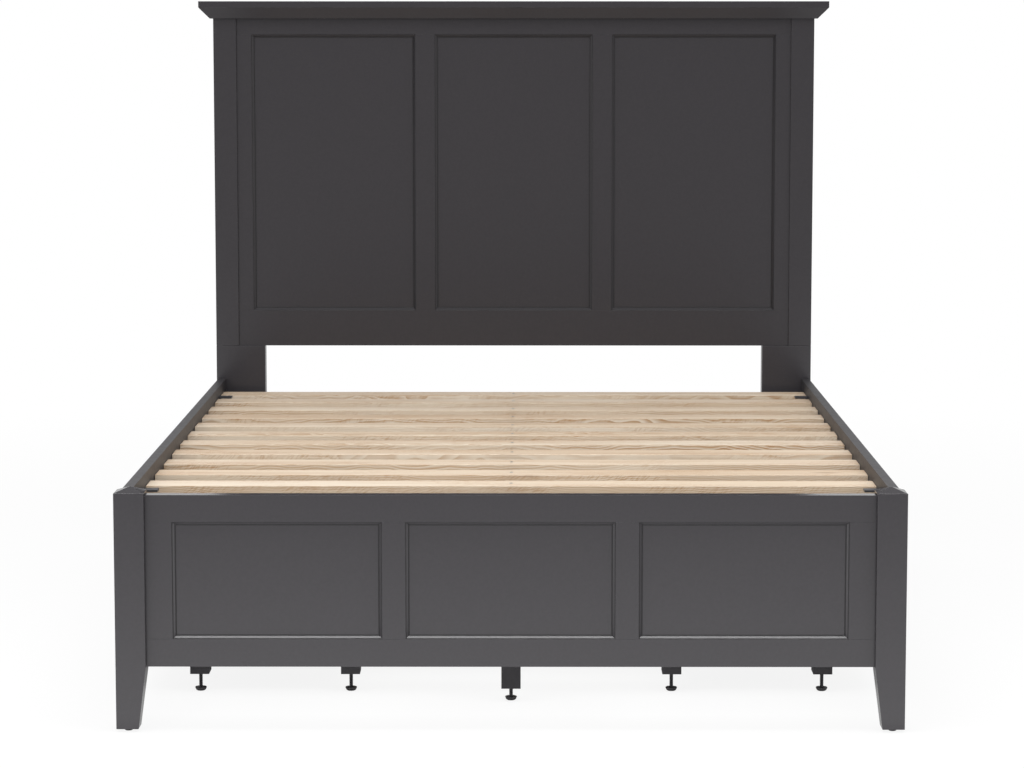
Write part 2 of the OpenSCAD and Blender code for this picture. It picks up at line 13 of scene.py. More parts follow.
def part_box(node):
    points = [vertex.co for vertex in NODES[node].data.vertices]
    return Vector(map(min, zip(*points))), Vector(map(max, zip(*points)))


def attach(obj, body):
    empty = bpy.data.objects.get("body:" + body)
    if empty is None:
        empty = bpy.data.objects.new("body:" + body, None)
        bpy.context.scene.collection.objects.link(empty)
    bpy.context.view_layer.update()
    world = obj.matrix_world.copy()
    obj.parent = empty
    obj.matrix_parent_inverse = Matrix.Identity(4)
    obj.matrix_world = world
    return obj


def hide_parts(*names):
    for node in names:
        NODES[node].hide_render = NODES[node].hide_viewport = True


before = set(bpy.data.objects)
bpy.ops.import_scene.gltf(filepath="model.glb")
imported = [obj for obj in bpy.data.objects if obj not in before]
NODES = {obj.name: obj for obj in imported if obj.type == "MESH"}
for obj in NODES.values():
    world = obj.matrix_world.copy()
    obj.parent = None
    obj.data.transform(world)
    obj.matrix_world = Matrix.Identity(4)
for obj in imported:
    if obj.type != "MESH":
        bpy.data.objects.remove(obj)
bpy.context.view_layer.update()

MM = 0.001
SLATS = sorted(name for name in NODES if name.startswith("slat_") and name != "slat_ledges")
FEET = sorted(name for name in NODES if name.startswith("levelling_foot_"))
DRAWERS = (1, 2, 3, 4)
LEDGES_LOW, LEDGES_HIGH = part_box("slat_ledges")
RAIL_X = LEDGES_HIGH.x  # inner faces of the side rails
RAIL_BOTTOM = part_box("footboard_bottom_rail")[0].z


# Node trees
class Tree:
    """A material's node tree, built with short calls."""

    def __init__(self, owner):
        owner.use_nodes = True
        self.owner = owner
        self.tree = owner.node_tree
        self.tree.nodes.clear()

    def add(self, kind, sockets=None, **settings):
        """A new node. Sockets maps a socket's name or index to a value or to another output."""
        node = self.tree.nodes.new("ShaderNode" + kind)
        for name, value in settings.items():
            setattr(node, name, value)
        for key, value in (sockets or {}).items():
            self.feed(node.inputs[key], value)
        return node

    def feed(self, socket, value):
        """Sets a socket to a value, or links it to another node's output."""
        if isinstance(value, bpy.types.NodeSocket):
            self.tree.links.new(value, socket)
        else:
            socket.default_value = value

    def math(self, operation, *values, clamp=False):
        """The result of a Math node on up to three values or outputs."""
        node = self.add("Math", dict(enumerate(values)), operation=operation)
        node.use_clamp = clamp
        return node.outputs[0]

    def vector(self, operation, *values):
        """The vector result of a Vector Math node."""
        return self.add("VectorMath", dict(enumerate(values)), operation=operation).outputs[0]

    def scaled(self, vector, scale):
        """A vector with each component multiplied by its own scale."""
        return self.vector("MULTIPLY", vector, scale)

    def noise(self, vector, scale, detail=2.0, roughness=0.5):
        """A noise texture's factor output."""
        sockets = {"Vector": vector, "Scale": scale, "Detail": detail, "Roughness": roughness}
        return self.add("TexNoise", sockets).outputs[0]

    def stretched(self, vector, scale, detail=2.0, roughness=0.5):
        """A noise texture's factor output, with its own scale on each axis."""
        return self.noise(self.scaled(vector, scale), 1.0, detail, roughness)

    def drift(self, vector, scale, detail):
        """A noise texture's three components as a vector, with its own scale on each axis."""
        sockets = {"Vector": self.scaled(vector, scale), "Scale": 1.0, "Detail": detail}
        return self.add("TexNoise", sockets).outputs[1]

    def length(self, vector):
        """The length of a vector."""
        return self.add("VectorMath", {0: vector}, operation="LENGTH").outputs["Value"]

    def parts(self, vector):
        """A vector's three components."""
        return self.add("SeparateXYZ", {0: vector}).outputs

    def joined(self, x, y, z):
        """A vector of three components."""
        return self.add("CombineXYZ", {0: x, 1: y, 2: z}).outputs[0]

    def red(self, colour):
        """A colour's red component."""
        return self.add("SeparateColor", {0: colour}).outputs[0]

    def span(self, value, low, high, to_low=0.0, to_high=1.0):
        """A value mapped from one range to another, and kept inside it."""
        return self.add("MapRange", {0: value, 1: low, 2: high, 3: to_low, 4: to_high}).outputs[0]

    def mix(self, factor, a, b, blend="MIX"):
        """Two colours mixed by a factor."""
        node = self.add("Mix", {0: factor, 6: a, 7: b}, data_type="RGBA", blend_type=blend)
        return node.outputs[2]

    def between(self, factor, a, b):
        """Two numbers mixed by a factor."""
        return self.add("Mix", {0: factor, 2: a, 3: b}).outputs[0]

    def bump(self, height, distance, strength):
        """A normal bent by a height, whose full range stands for a distance in metres."""
        sockets = {"Height": height, "Distance": distance, "Strength": strength}
        return self.add("Bump", sockets).outputs[0]

    def shader(self, **sockets):
        """The Principled shader, linked to the material's output."""
        named = {name.replace("_", " "): value for name, value in sockets.items()}
        node = self.add("BsdfPrincipled", named)
        self.add("OutputMaterial", {"Surface": node.outputs[0]})


def rgb(hexcode):
    """A linear colour from a display colour such as '#454346'."""
    values = [int(hexcode[i:i + 2], 16) / 255 for i in (1, 3, 5)]
    linear = [v / 12.92 if v <= 0.04045 else ((v + 0.055) / 1.055) ** 2.4 for v in values]
    return (*linear, 1.0)


def new_tree(name):
    """An empty material's tree, and the coordinates of the piece that it is on."""
    tree = Tree(bpy.data.materials.new(name))
    return tree, tree.add("TexCoord").outputs["Object"]


def edge_mask(tree, radius):
    """1 along convex and concave edges, falling to 0 at about the radius from them."""
    soft = tree.add("Bevel", {"Radius": radius}, samples=4).outputs[0]
    plain = tree.add("NewGeometry").outputs["Normal"]
    same = tree.add("VectorMath", {0: soft, 1: plain}, operation="DOT_PRODUCT").outputs["Value"]
    return tree.span(same, 0.995, 0.86)


# Paint. The scale of a texture is its number of features per metre.
PAINT = rgb("#353336")
PAINT_LIGHT = rgb("#373538")
PAINT_WORN = rgb("#646265")
# Darker paint of the leg blocks under the bed: painted shade of the bed's underside.
LEG_PAINT_SHADED = rgb("#2b292c")
LEG_PAINT_SHADED_LIGHT = rgb("#2f2d31")
# Near-black paint of the strips in the panels' quirks: painted shadow.
QUIRK_SHADOW_PAINT = rgb("#1f1e20")
QUIRK_SHADOW_PAINT_LIGHT = rgb("#222123")
PAINT_IOR = 1.5
PAINT_EDGE = 1.2 * MM
PAINT_WEAR = 0.5
PAINT_RELIEF = 0.012 * MM
MOTTLING = 160.0
RUBBING = 60.0
SHEEN = 75.0
PEEL = 420.0
STIPPLE = 2400.0


def paint_material(name, rough, dark=PAINT, light=PAINT_LIGHT, worn=PAINT_WORN):
    """Satin charcoal paint: faint mottling, a rolled texture and rubbed edges."""
    tree, place = new_tree(name)
    mottling = tree.noise(place, MOTTLING, 3.0, 0.6)
    colour = tree.mix(tree.span(mottling, 0.35, 0.65), dark, light)
    rubbed = tree.span(tree.noise(place, RUBBING, 3.0), 0.42, 0.75)
    wear = tree.math("MULTIPLY", edge_mask(tree, PAINT_EDGE), rubbed)
    colour = tree.mix(tree.math("MULTIPLY", wear, PAINT_WEAR), colour, worn)
    roughness = tree.span(tree.noise(place, SHEEN), 0.3, 0.7, *rough)
    stipple = tree.noise(place, STIPPLE, 1.0)
    height = tree.math("MULTIPLY_ADD", stipple, 0.3, tree.noise(place, PEEL))
    tree.shader(
        Base_Color=colour, Roughness=roughness, IOR=PAINT_IOR,
        Normal=tree.bump(height, PAINT_RELIEF, 0.6),
    )
    return tree.owner


# Wood, with its grain along X. Figures that run along a board have a scale for each axis.
BOARD_STEP = (0.731, 0.113, 0.071)  # between one board's grain and the next one's
ISLAND_STEP = 7.0
BEND_SCALE = (1.5, 5.0, 5.0)
BEND = 75 * MM
RIPPLE_SCALE = (13.0, 16.0, 16.0)
RIPPLE = 11 * MM
KNOT_SCALE = (3.0, 16.0, 16.0)
KNOT_REACH = (0.34, 0.02)  # from a knot's rim to its heart, in its cell
KNOT_RARITY = 0.58  # share of the cells without a knot
TRUNK_STRETCH = (0.02, 1.0, 1.0)
TRUNK_CELL = (9.0, 0.16, 0.13)  # half the room round each trunk's axis
RINGS_ROUND_KNOT = 2.6
UNEVEN_SCALE = (0.6, 20.0, 20.0)
LATE_SCALE = (1.1, 14.0, 14.0)
BROAD_SCALE = (0.9, 6.0, 6.0)
FIBRE_SCALE = (5.0, 420.0, 420.0)
PORE_SCALE = (45.0, 1500.0, 1500.0)
TICK_SCALE = (330.0, 90.0, 90.0)
TICK_PATCHES = (5.0, 22.0, 22.0)
TICK_SLANT = -1.3
# Shares of the darker colour in ticks, fibres and pores, and of the tint in broad patches
TICK_SHARE = 0.34
FIBRE_SHARE = 0.34
PORE_SHARE = 0.18
TINT_SHARE = 0.4
WOOD_IOR = 1.45
WOOD_RELIEF = 0.05 * MM


def grain_place(tree, place):
    """Coordinates moved by a board's own number, so that no two boards share their grain."""
    board = tree.add("Attribute", attribute_name="board", attribute_type="OBJECT").outputs["Fac"]
    island = tree.add("NewGeometry").outputs["Random Per Island"]
    number = tree.math("ADD", board, tree.math("MULTIPLY", island, ISLAND_STEP))
    return tree.vector("MULTIPLY_ADD", tree.joined(number, number, number), BOARD_STEP, place)


def trunk_place(tree, place):
    """Coordinates bent by low waves, so that flat faces cut the rings in arches."""
    bend = tree.drift(place, BEND_SCALE, 2.0)
    bend = tree.vector("MULTIPLY_ADD", bend, (0.0, BEND, BEND), (0.0, -BEND / 2, -BEND / 2))
    bent = tree.vector("ADD", place, bend)
    ripple = tree.drift(place, RIPPLE_SCALE, 1.0)
    return tree.vector("MULTIPLY_ADD", ripple, (0.0, RIPPLE, RIPPLE), bent)


def knots(tree, place):
    """1 at the hearts of a few knots, falling to 0 at their rims."""
    cells = tree.add("TexVoronoi", {"Vector": tree.scaled(place, KNOT_SCALE), "Scale": 1.0}).outputs
    eye = tree.span(cells["Distance"], *KNOT_REACH)
    picked = tree.math("GREATER_THAN", tree.red(cells["Color"]), KNOT_RARITY)
    return tree.math("MULTIPLY", tree.math("MULTIPLY", eye, eye), picked)


def late_wood(tree, place, trunk, eye, ring):
    """1 on the dark part of each growth ring round axes that run along the board."""
    wide = tree.scaled(trunk, TRUNK_STRETCH)
    cell = tree.vector("WRAP", wide, TRUNK_CELL, tuple(-half for half in TRUNK_CELL))
    radius = tree.length(tree.scaled(cell, (0.0, 1.0, 1.0)))
    radius = tree.math("MULTIPLY_ADD", eye, RINGS_ROUND_KNOT * ring, radius)
    uneven = tree.stretched(place, UNEVEN_SCALE)
    phase = tree.math("MULTIPLY_ADD", uneven, 2.2, tree.math("DIVIDE", radius, ring))
    year = tree.math("FRACT", phase)
    return tree.math("MULTIPLY", tree.span(year, 0.15, 0.82), tree.span(year, 1.0, 0.9))


def short_ticks(tree, place):
    """Short slanted marks of cut rays, in patches along a board."""
    x, y, z = tree.parts(place)
    slanted = tree.math("MULTIPLY_ADD", tree.math("ADD", y, z), TICK_SLANT, x)
    marks = tree.span(tree.stretched(tree.joined(slanted, y, z), TICK_SCALE, 1.0), 0.5, 0.6)
    patches = tree.span(tree.stretched(place, TICK_PATCHES), 0.46, 0.58)
    return tree.math("MULTIPLY", marks, patches)


def wood_material(name, light, dark, knot, tint, ring, upright=False):
    """Planed solid wood with its grain along X: growth rings, fibres, pores and a few knots."""
    tree, place = new_tree(name)
    if upright:
        place = turned_to_face(tree, place)
    place = grain_place(tree, place)
    trunk = trunk_place(tree, place)
    eye = knots(tree, place)
    late = late_wood(tree, place, trunk, eye, ring)
    strength = tree.span(tree.stretched(place, LATE_SCALE), 0.34, 0.68, 0.12, 1.0)
    fibres = tree.stretched(place, FIBRE_SCALE, 3.0, 0.6)
    pores = tree.span(tree.stretched(place, PORE_SCALE, 1.0), 0.62, 0.74)
    shade = tree.math("MULTIPLY", late, strength)
    shade = tree.math("MULTIPLY_ADD", short_ticks(tree, trunk), TICK_SHARE, shade)
    shade = tree.math("MULTIPLY_ADD", tree.span(fibres, 0.3, 0.7, -0.5, 0.5), FIBRE_SHARE, shade)
    shade = tree.math("MULTIPLY_ADD", pores, PORE_SHARE, shade, clamp=True)
    colour = tree.mix(shade, light, dark)
    broad = tree.span(tree.stretched(place, BROAD_SCALE, 3.0), 0.3, 0.7)
    colour = tree.mix(tree.math("MULTIPLY", broad, TINT_SHARE), colour, tint, "MULTIPLY")
    colour = tree.mix(tree.span(eye, 0.45, 0.95, 0.0, 0.75), colour, knot)
    height = tree.math("MULTIPLY_ADD", pores, -0.8, fibres)
    tree.shader(
        Base_Color=colour, Roughness=tree.span(shade, 0.0, 1.0, 0.5, 0.62), IOR=WOOD_IOR,
        Normal=tree.bump(height, WOOD_RELIEF, 0.5),
    )
    return tree.owner


def turned_to_face(tree, place):
    """Coordinates whose X runs along a board that stands across the bed's width."""
    normal = tree.add("NewGeometry").outputs["True Normal"]
    across = tree.parts(tree.vector("ABSOLUTE", normal))[0]
    x, y, z = tree.parts(place)
    return tree.mix(tree.math("GREATER_THAN", across, 0.5), place, tree.joined(y, x, z))


# Steel and plastic
ZINC = rgb("#b4b6b8")
ZINC_LIGHT = rgb("#cfd0cf")
ZINC_SCUFF = rgb("#8f9092")
ZINC_RELIEF = 0.01 * MM
CRYSTALS = 380.0
SCUFF_SCALE = (14.0, 900.0, 900.0)
BLACK_DUSTY = rgb("#3d3c3f")
BLACK_WORN = rgb("#5d5c5f")
BLACK_EDGE = 0.6 * MM
BLACK_WEAR = 0.6
DUST = 45.0


def zinc_material():
    """Zinc-plated steel: pale crystals, light scuffs along the travel."""
    tree, place = new_tree("zinc_plated_steel")
    crystals = tree.add("TexVoronoi", {"Vector": place, "Scale": CRYSTALS}).outputs["Color"]
    crystal = tree.red(crystals)
    scuffs = tree.stretched(place, SCUFF_SCALE)
    colour = tree.mix(tree.span(crystal, 0.0, 1.0, 0.2, 0.8), ZINC, ZINC_LIGHT)
    colour = tree.mix(tree.span(scuffs, 0.6, 0.8, 0.0, 0.35), colour, ZINC_SCUFF)
    roughness = tree.span(tree.math("ADD", crystal, scuffs), 0.4, 1.6, 0.26, 0.42)
    tree.shader(
        Base_Color=colour, Roughness=roughness, Metallic=1.0,
        Normal=tree.bump(scuffs, ZINC_RELIEF, 0.5),
    )
    return tree.owner


def black_material(name, colour, grain, rough, depth):
    """A black powder coat or moulded plastic: fine pebbling and paler rubbed edges."""
    tree, place = new_tree(name)
    pebbles = tree.noise(place, grain)
    cloud = tree.noise(place, DUST, 3.0)
    wear = tree.math("MULTIPLY", edge_mask(tree, BLACK_EDGE), tree.span(cloud, 0.4, 0.7))
    shade = tree.mix(tree.span(cloud, 0.3, 0.7, 0.0, 0.5), colour, BLACK_DUSTY)
    shade = tree.mix(tree.math("MULTIPLY", wear, BLACK_WEAR), shade, BLACK_WORN)
    tree.shader(
        Base_Color=shade, Roughness=tree.span(cloud, 0.3, 0.7, rough, rough + 0.1),
        Normal=tree.bump(pebbles, depth, 0.7),
    )
    return tree.owner


def make_materials():
    """Every finish by its short name, which is the record's slot where there is one."""
    return {
        "charcoal_paint": paint_material("charcoal_paint_satin", rough=(0.21, 0.235)),
        "rail_paint": paint_material("charcoal_paint_eggshell", rough=(0.46, 0.52)),
        # The leg blocks' darker paint is painted shade of the bed's underside.
        "shaded_leg_paint": paint_material(
            "charcoal_matt_painted_shade", rough=(0.5, 0.56), dark=LEG_PAINT_SHADED, light=LEG_PAINT_SHADED_LIGHT,
        ),
        "quirk_shadow_paint": paint_material(
            "painted_quirk_shadow", rough=(0.55, 0.6), dark=QUIRK_SHADOW_PAINT, light=QUIRK_SHADOW_PAINT_LIGHT,
            worn=QUIRK_SHADOW_PAINT_LIGHT,
        ),
        "slat_wood": wood_material(
            "slat_oak", light=rgb("#dccfbd"), dark=rgb("#ac865f"), knot=rgb("#74502f"),
            tint=rgb("#e6d4ba"), ring=3.4 * MM,
        ),
        "drawer_wood": wood_material(
            "drawer_birch", light=rgb("#dccaaa"), dark=rgb("#c3a57c"), knot=rgb("#a8875e"),
            tint=rgb("#e8d8bc"), ring=7.5 * MM, upright=True,
        ),
        "zinc_steel": zinc_material(),
        "black_steel": black_material(
            "black_powder_coat", rgb("#403e40"), grain=2600.0, rough=0.4, depth=0.03 * MM,
        ),
        "black_plastic": black_material(
            "black_moulded_plastic", rgb("#242326"), grain=1400.0, rough=0.42, depth=0.02 * MM,
        ),
    }


# Finish of the CAD nodes, by the start of a node's name. The rest have the satin paint.
FINISH_OF = {
    "side_rail": "rail_paint",
    "center_legs": "shaded_leg_paint",
    "slat_ledges": "charcoal_paint",
    "slat_": "slat_wood",
    "drawer_box_": "drawer_wood",
    "drawer_runners_": "zinc_steel",
    "runner_tracks": "zinc_steel",
    "steel_brackets": "black_steel",
    "levelling_foot_": "black_steel",
    "corner_glides": "black_plastic",
}
CARCASS_LEG_TOP = RAIL_BOTTOM + 19.5 * MM  # just under the carcasses' floors
# Rounding of the nodes' edges, with its number of steps
ROUNDING = {
    "slat_ledges": (1.0 * MM, 2),
    "slat_": (1.3 * MM, 3),
    "crown_": (0.9 * MM, 3),
    "headboard_post": (1.2 * MM, 3),
    "headboard_legs": (1.2 * MM, 3),
    "footboard_post": (1.2 * MM, 3),
    "headboard_": (0.35 * MM, 2),
    "footboard_": (0.35 * MM, 2),
    "side_rail": (0.02 * MM, 1),
    "drawer_front": (1.2 * MM, 3),
    "drawer_box": (0.8 * MM, 2),
    "steel_brackets": (0.4 * MM, 2),
    "runner_tracks": (0.25 * MM, 2),
    "drawer_runners": (0.25 * MM, 2),
    "levelling_foot": (0.3 * MM, 2),
    "corner_glides": (0.3 * MM, 2),
}
PLAIN_ROUNDING = (0.8 * MM, 2)
WELD = 0.002 * MM
FLAT_ANGLE = math.radians(0.5)
SHARP_ANGLE = math.radians(25)


def first_match(name, table, default):
    """The value of the first key that a name starts with."""
    for start, value in table.items():
        if name.startswith(start):
            return value
    return default


def round_edges(obj, width, steps):
    """Welds the faces' corners, merges flat faces and rounds what is left of the edges."""
    weld = obj.modifiers.new("weld", "WELD")
    weld.merge_threshold = WELD
    flat = obj.modifiers.new("flat_faces", "DECIMATE")
    flat.decimate_type = "DISSOLVE"
    flat.angle_limit = FLAT_ANGLE
    bevel = obj.modifiers.new("rounded_edges", "BEVEL")
    bevel.width = width
    bevel.segments = steps
    bevel.limit_method = "ANGLE"
    bevel.angle_limit = SHARP_ANGLE
    bevel.harden_normals = True
    bevel.miter_outer = "MITER_ARC"


def darken_legs_painted_shade(obj, material):
    """Gives the leg blocks under a carcass a darker paint: painted shade of the bed's underside."""
    obj.data.materials.append(material)
    for face in obj.data.polygons:
        if (obj.matrix_world @ face.center).z < CARCASS_LEG_TOP:
            face.material_index = 1


def finish_nodes(materials):
    """Gives each CAD node its finish and its rounded edges."""
    for index, (name, obj) in enumerate(sorted(NODES.items())):
        obj.data.materials.clear()
        obj.data.materials.append(materials[first_match(name, FINISH_OF, "charcoal_paint")])
        if name.startswith("carcass_"):
            darken_legs_painted_shade(obj, materials["shaded_leg_paint"])
        obj["board"] = float(index)
        round_edges(obj, *first_match(name, ROUNDING, PLAIN_ROUNDING))


# Small pieces
SMOOTH_ANGLE = math.radians(30)


def to_mesh(shape, name):
    """The mesh of a finished bmesh shape."""
    mesh = bpy.data.meshes.new(name)
    shape.to_mesh(mesh)
    shape.free()
    return mesh


def lathe(profile, steps=32):
    """A mesh turned about Z from [(radius, height)], whose ends lie on the axis."""
    shape = bmesh.new()
    rings = []
    for radius, height in profile:
        count = steps if radius > 0 else 1
        ring = [
            shape.verts.new((
                radius * math.cos(2 * math.pi * k / steps),
                radius * math.sin(2 * math.pi * k / steps),
                height,
            ))
            for k in range(count)
        ]
        rings.append(ring)
    for lower, upper in zip(rings, rings[1:]):
        for k in range(steps):
            corners = [
                lower[k % len(lower)], lower[(k + 1) % len(lower)],
                upper[(k + 1) % len(upper)], upper[k % len(upper)],
            ]
            shape.faces.new(list(dict.fromkeys(corners)))
    bmesh.ops.recalc_face_normals(shape, faces=shape.faces)
    return to_mesh(shape, "turned")


def prism(outline, low, high):
    """A mesh of an outline in X and Y between two heights."""
    shape = bmesh.new()
    face = shape.faces.new([shape.verts.new((x, y, low)) for x, y in outline])
    grown = bmesh.ops.extrude_face_region(shape, geom=[face])["geom"]
    top = [v for v in grown if isinstance(v, bmesh.types.BMVert)]
    bmesh.ops.translate(shape, verts=top, vec=(0, 0, high - low))
    bmesh.ops.recalc_face_normals(shape, faces=shape.faces)
    return to_mesh(shape, "prism")


def carved(mesh, cutter):
    """A mesh with another cut out of it."""
    body = bpy.data.objects.new("carved", mesh)
    tool = bpy.data.objects.new("cutter", cutter)
    for obj in (body, tool):
        bpy.context.scene.collection.objects.link(obj)
    cut = body.modifiers.new("cut", "BOOLEAN")
    cut.operation = "DIFFERENCE"
    cut.object = tool
    cut.solver = "EXACT"
    bpy.context.view_layer.update()
    graph = bpy.context.evaluated_depsgraph_get()
    result = bpy.data.meshes.new_from_object(body.evaluated_get(graph))
    for obj in (body, tool):
        bpy.data.objects.remove(obj)
    return result


def cross_outline(length, width):
    """The outline of a cross recess."""
    a, b = length / 2, width / 2
    quarter = [(a, -b), (a, b), (b, b)]
    turns = [(1, 0, 0, 1), (0, -1, 1, 0), (-1, 0, 0, -1), (0, 1, -1, 0)]
    return [(p * x + q * y, r * x + s * y) for p, q, r, s in turns for x, y in quarter]


def hexagon(across_flats):
    """The outline of a hexagon socket."""
    radius = across_flats / math.sqrt(3)
    turns = [math.pi * k / 3 for k in range(6)]
    return [(radius * math.cos(a), radius * math.sin(a)) for a in turns]


def dome(radius, height, edge, steps=6):
    """The profile of a domed head that stands on Z 0, from its rim to its top."""
    rise = height - edge
    turns = [math.pi / 2 * k / steps for k in range(steps)]
    arc = [(radius * math.cos(a), edge + rise * math.sin(a)) for a in turns]
    return [(0.0, 0.0), (radius, 0.0), *arc, (0.0, height)]


def countersunk_screw(diameter, sink):
    """A flat cross-head screw whose face lies a little below Z 0."""
    profile = [
        (0, -0.45 * diameter), (0.3 * diameter, -0.4 * diameter),
        (diameter / 2, -sink - 0.4 * MM), (diameter / 2, -sink), (0, -sink),
    ]
    recess = prism(cross_outline(0.56 * diameter, 0.13 * diameter), -0.24 * diameter, diameter)
    return carved(lathe(profile), recess)


def domed_screw(diameter, height):
    """A domed cross-head screw that stands on Z 0."""
    recess = prism(cross_outline(0.54 * diameter, 0.13 * diameter), 0.35 * height, 2 * height)
    return carved(lathe(dome(diameter / 2, height, 0.12 * height)), recess)


def socket_bolt(diameter):
    """A button-head bolt with a hexagon socket, on its washer."""
    washer = 1.2 * MM
    height = 0.34 * diameter + washer
    head = dome(diameter / 2, height, washer + 0.4 * MM)
    collar = [(0, 0), (0.68 * diameter, 0), (0.68 * diameter, washer), (diameter / 2, washer)]
    socket = prism(hexagon(0.42 * diameter), washer + 0.5 * MM, 2 * height)
    return carved(lathe(collar + head[2:]), socket)


def facing(point, direction):
    """The placing of a small piece whose Z axis turns to a direction."""
    turn = Vector(direction).to_track_quat("Z", "Y").to_matrix().to_4x4()
    return Matrix.Translation(point) @ turn


def spread(low, high, count):
    """Even places along a range, with half a step left at both ends."""
    return [low + (high - low) * (k + 0.5) / count for k in range(count)]


def copies(name, mesh, places, body, slot, materials):
    """One piece of many copies of a mesh, riding on a body."""
    shape = bmesh.new()
    for place in places:
        one = mesh.copy()
        one.transform(place)
        shape.from_mesh(one)
        bpy.data.meshes.remove(one)
    joined = to_mesh(shape, name)
    joined.shade_smooth()
    joined.set_sharp_from_angle(angle=SMOOTH_ANGLE)
    obj = bpy.data.objects.new(name, joined)
    bpy.context.scene.collection.objects.link(obj)
    joined.materials.append(materials[slot])
    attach(obj, body)
    return obj


# Panels
PANEL_LIP = 1.5 * MM  # a panel's edge inside its groove
PANEL_DEPTH = 8 * MM  # from the frame's face to the panels
# Widths of the stiles between the panels and of the middle opening, or 0 for equal openings
BOARDS = {"headboard_panels": (52 * MM, 421 * MM), "footboard_panels": (47.5 * MM, 0)}
# Dark strips in the quirk and at the foot of the moulded edge, painted shadow of those recesses:
# (inset, depth) in mm from the corner of the frame's face
QUIRK_SHADOW_LINE = ((-0.2, 0.7), (1.8, 2.6), (1.8, 3.1), (-0.2, 1.4))
FOOT_SHADOW_LINE = ((5.3, 6.15), (7.0, 7.75), (8.0, 7.85), (8.0, 8.4), (5.3, 6.9))


def add_ring(shape, xs, zs, y, outline):
    """Adds a closed mitred line round an opening."""
    loops = []
    for inset, depth in outline:
        left, right = xs[0] + inset * MM, xs[1] - inset * MM
        low, high = zs[0] + inset * MM, zs[1] - inset * MM
        corners = ((left, low), (right, low), (right, high), (left, high))
        loops.append([shape.verts.new((x, y + depth * MM, z)) for x, z in corners])
    for first, second in zip(loops, loops[1:] + loops[:1]):
        for k in range(4):
            shape.faces.new((first[k], first[k - 3], second[k - 3], second[k]))


def make_painted_quirk_shadows(materials):
    """Thin dark strips beside the moulded edge round every panel: painted shadow in the quirks."""
    shape = bmesh.new()
    for name, (stile, middle) in BOARDS.items():
        low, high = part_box(name)
        edge = high.x - PANEL_LIP
        half = (middle or (2 * edge - 2 * stile) / 3) / 2
        zs = (low.z + PANEL_LIP, high.z - PANEL_LIP)
        for xs in ((-edge, -half - stile), (-half, half), (half + stile, edge)):
            for outline in (QUIRK_SHADOW_LINE, FOOT_SHADOW_LINE):
                add_ring(shape, xs, zs, low.y - PANEL_DEPTH, outline)
    bmesh.ops.recalc_face_normals(shape, faces=shape.faces)
    mesh, here = to_mesh(shape, "lines"), [Matrix.Identity(4)]
    lines = copies("panel_painted_quirk_shadows", mesh, here, "bed", "charcoal_paint", materials)
    lines.data.materials[0] = materials["quirk_shadow_paint"]


# Fasteners of the deck
UP = (0, 0, 1)
PIN_IN = 15 * MM  # from a slat's end to its pin
PIN_RADIUS = 1.1 * MM


def make_slat_fasteners(materials):
    """A screw through each slat's middle into the beam, and a pin at each end."""
    middles, ends = [], []
    for name in SLATS:
        low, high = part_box(name)
        y = (low.y + high.y) / 2
        middles.append(facing((0, y, high.z), UP))
        ends += [facing((x, y, high.z), UP) for x in (low.x + PIN_IN, high.x - PIN_IN)]
    copies("slat_screws", domed_screw(8 * MM, 1.1 * MM), middles, "bed", "zinc_steel", materials)
    pin = lathe([(0, -MM), (PIN_RADIUS, -MM), (PIN_RADIUS, 0.08 * MM), (0, 0.12 * MM)], 16)
    copies("slat_pins", pin, ends, "bed", "zinc_steel", materials)


# Fasteners of the steel brackets
PLATE = 3 * MM
CORNER_HEIGHT = 180 * MM
CORNER_BOLTS = 3
RAIL_BOLT_IN = 40 * MM  # from a rail's end
POST_BOLT_IN = 17 * MM  # from a rail's inner face
DECK_PLATE = 4.5 * MM
DECK_BRACKET_FOOT = 275 * MM  # from the footboard's front
DECK_BRACKET_HEAD = 39 * MM  # from the last slat
DECK_SCREW_DOWN = 12.5 * MM  # from the deck brackets' tops
DECK_SCREW_STEPS = (-8 * MM, 8 * MM)
WING = 18 * MM  # width of a beam hanger's wing
WING_SCREW_UPS = (13.5 * MM, 43.5 * MM)  # from the beam's underside
CHEEK_SCREW_UP = 34.5 * MM
CHEEK_SCREW_IN = 25 * MM  # from the beam's end


def corner_bolts(side, base):
    """Places of the bolts of one side's corner brackets, which start at a height."""
    rail, post = side * (RAIL_X - PLATE), side * (RAIL_X - POST_BOLT_IN)
    places = []
    for end, way in ((LEDGES_LOW.y, 1), (LEDGES_HIGH.y, -1)):
        for z in spread(base, base + CORNER_HEIGHT, CORNER_BOLTS):
            places.append(facing((rail, end + way * RAIL_BOLT_IN, z), (-side, 0, 0)))
            places.append(facing((post, end + way * PLATE, z), (0, way, 0)))
    return places


def deck_screws(side, top):
    """Places of the screws of one side's deck brackets, which end at a height."""
    face, z = side * (RAIL_X - DECK_PLATE), top - DECK_SCREW_DOWN
    front, last_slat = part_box("footboard_post_left")[0].y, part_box(SLATS[-1])[0].y
    middles = (front + DECK_BRACKET_FOOT, last_slat - DECK_BRACKET_HEAD)
    return [facing((face, y + dy, z), (-side, 0, 0)) for y in middles for dy in DECK_SCREW_STEPS]


def hanger_screws(side):
    """Places of the screws on one side of the beam's two hangers."""
    low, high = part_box("center_beam")
    cheek = high.x + PLATE
    places = []
    for end, way in ((low.y, 1), (high.y, -1)):
        x, y = side * (cheek + WING / 2), end + way * PLATE
        places += [facing((x, y, low.z + up), (0, way, 0)) for up in WING_SCREW_UPS]
        point = (side * cheek, end + way * CHEEK_SCREW_IN, low.z + CHEEK_SCREW_UP)
        places.append(facing(point, (side, 0, 0)))
    return places


